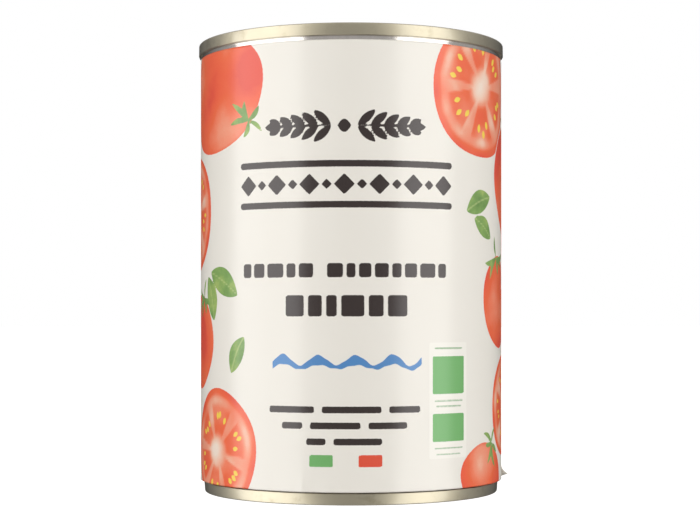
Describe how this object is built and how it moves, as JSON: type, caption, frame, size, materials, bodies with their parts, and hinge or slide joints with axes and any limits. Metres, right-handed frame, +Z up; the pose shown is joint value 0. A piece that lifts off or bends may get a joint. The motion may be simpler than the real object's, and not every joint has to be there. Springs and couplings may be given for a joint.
{
  "type": "tin of tomatoes",
  "caption": "Shut food tin of peeled tomatoes: a tinplate can with double-seamed, gold-lacquered ends and a wrapped paper label, one lower corner of which has lifted.",
  "frame": {"origin": "centre of the bottom rim, on the surface that the tin stands on", "axes": "+Z up along the tin's axis, -Y towards the front of the label, +X to the right of someone facing it"},
  "size_m": [0.0756, 0.0744, 0.1086],
  "materials": {
    "tinplate": "bright rolled tinplate",
    "lacquered_end": "satin tinplate under a pale gold lacquer",
    "printed_paper": "semi-gloss coated paper, printed"
  },
  "bodies": {
    "root": {"can_body": "tinplate", "top_end": "lacquered_end", "bottom_end": "lacquered_end", "paper_label": "printed_paper"}
  },
  "joints": []
}
